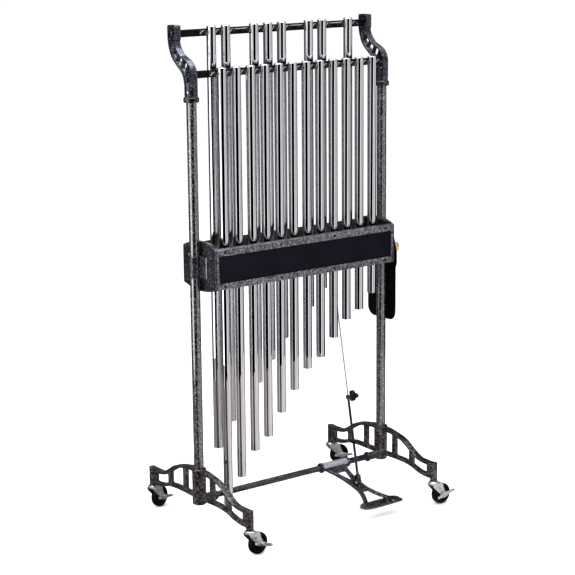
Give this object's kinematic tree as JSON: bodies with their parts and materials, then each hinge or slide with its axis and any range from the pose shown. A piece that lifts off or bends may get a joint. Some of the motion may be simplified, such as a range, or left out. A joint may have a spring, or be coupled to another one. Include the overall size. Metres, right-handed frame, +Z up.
{
  "type": "tubular bells",
  "caption": "Orchestral tubular bells: rows of hanging chromed tubes on a wheeled frame, with a foot pedal that works the felt dampers in a box across the middle.",
  "frame": {"origin": "on the floor, under the middle of the whole instrument's box", "axes": "+Z up, +X to the player's right towards the high notes, +Y away from the player; the player stands at -Y"},
  "size_m": [0.9153, 0.6536, 1.7235],
  "materials": {
    "chrome_tube": "mirror-bright chrome plating on brass tube, with a rounded top rim",
    "dark_hammertone": "dark brown-grey hammertone enamel",
    "grey_hammertone": "lighter silver-grey hammertone enamel",
    "black_enamel": "smooth satin black enamel",
    "dark_panel": "flat near-black panel with a faint grain",
    "grey_cord": "braided cord",
    "brown_felt": "thick brown wool felt",
    "nickel": "nickel plate, slightly yellow",
    "black_rubber": "smooth black rubber",
    "black_plastic": "moulded black plastic",
    "mill_aluminium": "mill finish",
    "zinc_steel": "bright zinc plate",
    "black_cloth": "padded black woven nylon with bound edges",
    "rawhide": "coiled rawhide, dull tan"
  },
  "bodies": {
    "frame": {"left_leg": "dark_hammertone", "right_leg": "dark_hammertone", "cross_bar": "dark_hammertone", "left_post": "dark_hammertone", "right_post": "dark_hammertone", "left_top_bracket": "dark_hammertone", "right_top_bracket": "dark_hammertone", "front_hanger_rail": "black_enamel", "rear_hanger_rail": "black_enamel", "front_bell_cord": "grey_cord", "rear_bell_cord": "grey_cord", "left_end_casting": "grey_hammertone", "right_end_casting": "grey_hammertone", "front_frame": "grey_hammertone", "front_panel": "dark_panel", "rear_wall": "black_enamel", "rear_wall_felt": "brown_felt", "mallet_pouch": "black_cloth"},
    "tube_c5": {"bell_c5": "chrome_tube"},
    "tube_d5": {"bell_d5": "chrome_tube"},
    "tube_e5": {"bell_e5": "chrome_tube"},
    "tube_f5": {"bell_f5": "chrome_tube"},
    "tube_g5": {"bell_g5": "chrome_tube"},
    "tube_a5": {"bell_a5": "chrome_tube"},
    "tube_b5": {"bell_b5": "chrome_tube"},
    "tube_c6": {"bell_c6": "chrome_tube"},
    "tube_d6": {"bell_d6": "chrome_tube"},
    "tube_e6": {"bell_e6": "chrome_tube"},
    "tube_f6": {"bell_f6": "chrome_tube"},
    "tube_g6": {"bell_g6": "chrome_tube"},
    "tube_cs5": {"bell_cs5": "chrome_tube"},
    "tube_ds5": {"bell_ds5": "chrome_tube"},
    "tube_fs5": {"bell_fs5": "chrome_tube"},
    "tube_gs5": {"bell_gs5": "chrome_tube"},
    "tube_as5": {"bell_as5": "chrome_tube"},
    "tube_cs6": {"bell_cs6": "chrome_tube"},
    "tube_ds6": {"bell_ds6": "chrome_tube"},
    "tube_fs6": {"bell_fs6": "chrome_tube"},
    "front_left_swivel": {"front_left_caster_fork": "nickel"},
    "front_left_roller": {"front_left_caster_wheel": "black_rubber"},
    "front_left_brake": {"front_left_brake_lever": "zinc_steel"},
    "rear_left_swivel": {"rear_left_caster_fork": "nickel"},
    "rear_left_roller": {"rear_left_caster_wheel": "black_rubber"},
    "rear_left_brake": {"rear_left_brake_lever": "zinc_steel"},
    "front_right_swivel": {"front_right_caster_fork": "nickel"},
    "front_right_roller": {"front_right_caster_wheel": "black_rubber"},
    "front_right_brake": {"front_right_brake_lever": "zinc_steel"},
    "rear_right_swivel": {"rear_right_caster_fork": "nickel"},
    "rear_right_roller": {"rear_right_caster_wheel": "black_rubber"},
    "rear_right_brake": {"rear_right_brake_lever": "zinc_steel"},
    "pedal_lever": {"pedal": "dark_hammertone"},
    "pedal_rod": {"lower_rod_tube": "black_enamel", "upper_rod": "zinc_steel"},
    "clamp_knob": {"rod_knob": "black_plastic"},
    "wedge": {"damper_wedge_bar": "mill_aluminium"},
    "front_damper": {"front_damper_bar": "mill_aluminium", "front_damper_felt": "brown_felt"},
    "rear_damper": {"rear_damper_bar": "mill_aluminium", "rear_damper_felt": "brown_felt"},
    "loose_mallet": {"mallet": "rawhide"}
  },
  "joints": [
    {"name": "pedal_press", "type": "hinge", "parent": "frame", "child": "pedal_lever", "pos_m": [0.15592, -0.00265, 0.1186], "axis": [1, 0, 0], "range_deg": [0, 6], "stiffness_Nm_per_rad": 20, "springref_deg": -22.92},
    {"name": "rod_pivot", "type": "hinge", "parent": "pedal_lever", "child": "pedal_rod", "pos_m": [0.15592, -0.14365, 0.091], "axis": [1, 0, 0], "range_deg": [-5.8, 0]},
    {"name": "wedge_drop", "type": "slide", "parent": "frame", "child": "wedge", "axis": [0, 0, -1], "range_m": [0, 0.0142]},
    {"name": "front_damper_release", "type": "slide", "parent": "frame", "child": "front_damper", "axis": [0, 1, 0], "range_m": [0, 0.0078]},
    {"name": "rear_damper_release", "type": "slide", "parent": "frame", "child": "rear_damper", "axis": [0, -1, 0], "range_m": [0, 0.0078]},
    {"name": "knob_turn", "type": "hinge", "parent": "pedal_rod", "child": "clamp_knob", "pos_m": [0.17992, -0.08593, 0.39354], "axis": [1, 0, 0], "continuous": true},
    {"name": "mallet_lift", "type": "slide", "parent": "frame", "child": "loose_mallet", "axis": [0, 0, 1], "range_m": [0, 0.28]},
    {"name": "front_left_swivel_turn", "type": "hinge", "parent": "frame", "child": "front_left_swivel", "pos_m": [-0.43168, -0.29765, 0.09], "axis": [0, 0, 1], "continuous": true},
    {"name": "front_left_wheel_roll", "type": "hinge", "parent": "front_left_swivel", "child": "front_left_roller", "pos_m": [-0.39702, -0.29278, 0.0375], "axis": [-0.1392, 0.9903, 0], "continuous": true},
    {"name": "front_left_brake_rock", "type": "hinge", "parent": "front_left_swivel", "child": "front_left_brake", "pos_m": [-0.3939, -0.31496, 0.0375], "axis": [-0.1392, 0.9903, 0], "range_deg": [-30, 1]},
    {"name": "rear_left_swivel_turn", "type": "hinge", "parent": "frame", "child": "rear_left_swivel", "pos_m": [-0.43168, 0.29235, 0.09], "axis": [0, 0, 1], "continuous": true},
    {"name": "rear_left_wheel_roll", "type": "hinge", "parent": "rear_left_swivel", "child": "rear_left_roller", "pos_m": [-0.39879, 0.30433, 0.0375], "axis": [-0.342, 0.9397, 0], "continuous": true},
    {"name": "rear_left_brake_rock", "type": "hinge", "parent": "rear_left_swivel", "child": "rear_left_brake", "pos_m": [-0.39113, 0.28327, 0.0375], "axis": [-0.342, 0.9397, 0], "range_deg": [-21, 10]},
    {"name": "front_right_swivel_turn", "type": "hinge", "parent": "frame", "child": "front_right_swivel", "pos_m": [0.37632, -0.29765, 0.09], "axis": [0, 0, 1], "continuous": true},
    {"name": "front_right_wheel_roll", "type": "hinge", "parent": "front_right_swivel", "child": "front_right_roller", "pos_m": [0.41131, -0.29703, 0.0375], "axis": [-0.0175, 0.9998, 0], "continuous": true},
    {"name": "front_right_brake_rock", "type": "hinge", "parent": "front_right_swivel", "child": "front_right_brake", "pos_m": [0.4117, -0.31943, 0.0375], "axis": [-0.0175, 0.9998, 0], "range_deg": [-1, 30]},
    {"name": "rear_right_swivel_turn", "type": "hinge", "parent": "frame", "child": "rear_right_swivel", "pos_m": [0.37632, 0.29235, 0.09], "axis": [0, 0, 1], "continuous": true},
    {"name": "rear_right_wheel_roll", "type": "hinge", "parent": "rear_right_swivel", "child": "rear_right_roller", "pos_m": [0.41098, 0.28748, 0.0375], "axis": [0.1392, 0.9903, 0], "continuous": true},
    {"name": "rear_right_brake_rock", "type": "hinge", "parent": "rear_right_swivel", "child": "rear_right_brake", "pos_m": [0.40786, 0.2653, 0.0375], "axis": [0.1392, 0.9903, 0], "range_deg": [-19, 12]},
    {"name": "swing_c5", "type": "hinge", "parent": "frame", "child": "tube_c5", "pos_m": [-0.33278, -0.03485, 1.56], "axis": [1, 0, 0], "range_deg": [-1.7, 0.19], "deforming": ["front_damper_felt"]},
    {"name": "swing_d5", "type": "hinge", "parent": "frame", "child": "tube_d5", "pos_m": [-0.27481, -0.03485, 1.56], "axis": [1, 0, 0], "range_deg": [-1.7, 0.5], "deforming": ["front_damper_felt"]},
    {"name": "swing_e5", "type": "hinge", "parent": "frame", "child": "tube_e5", "pos_m": [-0.21684, -0.03485, 1.56], "axis": [1, 0, 0], "range_deg": [-1.7, 0.5], "deforming": ["front_damper_felt"]},
    {"name": "swing_f5", "type": "hinge", "parent": "frame", "child": "tube_f5", "pos_m": [-0.15887, -0.03485, 1.56], "axis": [1, 0, 0], "range_deg": [-1.7, 0.5], "deforming": ["front_damper_felt"]},
    {"name": "swing_g5", "type": "hinge", "parent": "frame", "child": "tube_g5", "pos_m": [-0.1009, -0.03485, 1.56], "axis": [1, 0, 0], "range_deg": [-1.7, 0.5], "deforming": ["front_damper_felt"]},
    {"name": "swing_a5", "type": "hinge", "parent": "frame", "child": "tube_a5", "pos_m": [-0.04293, -0.03485, 1.56], "axis": [1, 0, 0], "range_deg": [-1.7, 0.5], "deforming": ["front_damper_felt"]},
    {"name": "swing_b5", "type": "hinge", "parent": "frame", "child": "tube_b5", "pos_m": [0.01504, -0.03485, 1.56], "axis": [1, 0, 0], "range_deg": [-1.7, 0.5], "deforming": ["front_damper_felt"]},
    {"name": "swing_c6", "type": "hinge", "parent": "frame", "child": "tube_c6", "pos_m": [0.07301, -0.03485, 1.56], "axis": [1, 0, 0], "range_deg": [-1.7, 0.5], "deforming": ["front_damper_felt"]},
    {"name": "swing_d6", "type": "hinge", "parent": "frame", "child": "tube_d6", "pos_m": [0.13098, -0.03485, 1.56], "axis": [1, 0, 0], "range_deg": [-1.7, 0.5], "deforming": ["front_damper_felt"]},
    {"name": "swing_e6", "type": "hinge", "parent": "frame", "child": "tube_e6", "pos_m": [0.18895, -0.03485, 1.56], "axis": [1, 0, 0], "range_deg": [-1.7, 0.5], "deforming": ["front_damper_felt"]},
    {"name": "swing_f6", "type": "hinge", "parent": "frame", "child": "tube_f6", "pos_m": [0.24692, -0.03485, 1.56], "axis": [1, 0, 0], "range_deg": [-1.7, 0.5], "deforming": ["front_damper_felt"]},
    {"name": "swing_g6", "type": "hinge", "parent": "frame", "child": "tube_g6", "pos_m": [0.30489, -0.03485, 1.56], "axis": [1, 0, 0], "range_deg": [-1.7, 0.5], "deforming": ["front_damper_felt"]},
    {"name": "swing_cs5", "type": "hinge", "parent": "frame", "child": "tube_cs5", "pos_m": [-0.3038, 0.06325, 1.689], "axis": [1, 0, 0], "range_deg": [-0.5, 0.5], "deforming": ["rear_damper_felt"]},
    {"name": "swing_ds5", "type": "hinge", "parent": "frame", "child": "tube_ds5", "pos_m": [-0.24583, 0.06325, 1.689], "axis": [1, 0, 0], "range_deg": [-0.5, 0.5], "deforming": ["rear_damper_felt"]},
    {"name": "swing_fs5", "type": "hinge", "parent": "frame", "child": "tube_fs5", "pos_m": [-0.12989, 0.06325, 1.689], "axis": [1, 0, 0], "range_deg": [-0.5, 0.5], "deforming": ["rear_damper_felt"]},
    {"name": "swing_gs5", "type": "hinge", "parent": "frame", "child": "tube_gs5", "pos_m": [-0.07192, 0.06325, 1.689], "axis": [1, 0, 0], "range_deg": [-0.5, 0.5], "deforming": ["rear_damper_felt"]},
    {"name": "swing_as5", "type": "hinge", "parent": "frame", "child": "tube_as5", "pos_m": [-0.01395, 0.06325, 1.689], "axis": [1, 0, 0], "range_deg": [-0.5, 0.5], "deforming": ["rear_damper_felt"]},
    {"name": "swing_cs6", "type": "hinge", "parent": "frame", "child": "tube_cs6", "pos_m": [0.10199, 0.06325, 1.689], "axis": [1, 0, 0], "range_deg": [-0.5, 0.5], "deforming": ["rear_damper_felt"]},
    {"name": "swing_ds6", "type": "hinge", "parent": "frame", "child": "tube_ds6", "pos_m": [0.15996, 0.06325, 1.689], "axis": [1, 0, 0], "range_deg": [-0.5, 0.5], "deforming": ["rear_damper_felt"]},
    {"name": "swing_fs6", "type": "hinge", "parent": "frame", "child": "tube_fs6", "pos_m": [0.2759, 0.06325, 1.689], "axis": [1, 0, 0], "range_deg": [-0.5, 0.5], "deforming": ["rear_damper_felt"]}
  ],
  "couplings": [
    {"joint": "rod_pivot", "follows": "pedal_press", "ratio": -0.95792},
    {"joint": "wedge_drop", "follows": "pedal_press", "m_per_rad": 0.13293},
    {"joint": "front_damper_release", "follows": "pedal_press", "m_per_rad": 0.07311},
    {"joint": "rear_damper_release", "follows": "pedal_press", "m_per_rad": 0.07311}
  ]
}
